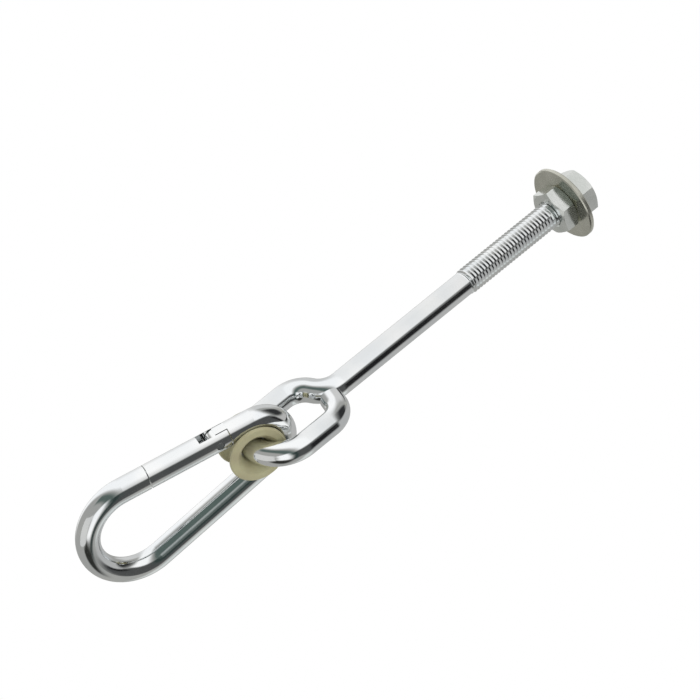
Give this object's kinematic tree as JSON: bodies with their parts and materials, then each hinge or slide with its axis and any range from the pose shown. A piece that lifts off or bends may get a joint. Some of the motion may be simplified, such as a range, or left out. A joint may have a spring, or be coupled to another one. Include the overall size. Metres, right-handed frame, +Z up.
{
  "type": "hammock hook",
  "caption": "Hanging hook: an eye bolt with nuts and a washer carries a spring snap hook on a nylon spool, so the hook sways and swings under a beam.",
  "frame": {"origin": "on the bolt's axis at the washer's underside, where the washer meets the top of the beam", "axes": "+Z up along the bolt towards its threaded end, X across the plane of the eye, Y through the eye"},
  "size_m": [0.046, 0.0474, 0.2318],
  "materials": {
    "plated_rod": "bright zinc plating",
    "plated_nut": "bright zinc plating",
    "plated_washer": "zinc plating, warm grey",
    "nylon": "moulded tan nylon",
    "plated_hook": "bright zinc plating",
    "pin_steel": "plain steel",
    "spring_steel": "spring steel"
  },
  "bodies": {
    "eye": {"eye_bolt": "plated_rod", "lower_nut": "plated_nut", "washer": "plated_washer", "upper_nut": "plated_nut"},
    "bushing": {"nylon_bushing": "nylon"},
    "hook": {"hook_body": "plated_hook"},
    "gate": {"gate": "plated_hook", "gate_pin": "pin_steel", "latch_pin": "pin_steel", "spring_plunger": "pin_steel", "gate_spring": "spring_steel"}
  },
  "joints": [
    {"name": "bushing_sway", "type": "hinge", "parent": "eye", "child": "bushing", "pos_m": [0, 0, -0.1409], "axis": [0, 1, 0], "range_deg": [-43, 7]},
    {"name": "hook_swing", "type": "hinge", "parent": "bushing", "child": "hook", "pos_m": [-0.00383, 0, -0.15269], "axis": [0.9511, 0, -0.309], "range_deg": [-135, 110]},
    {"name": "gate_open", "type": "hinge", "parent": "hook", "child": "gate", "pos_m": [-0.00751, -0.00951, -0.16401], "axis": [0.9511, 0, -0.309], "range_deg": [0, 28], "stiffness_Nm_per_rad": 0.05, "springref_deg": -34.38}
  ]
}
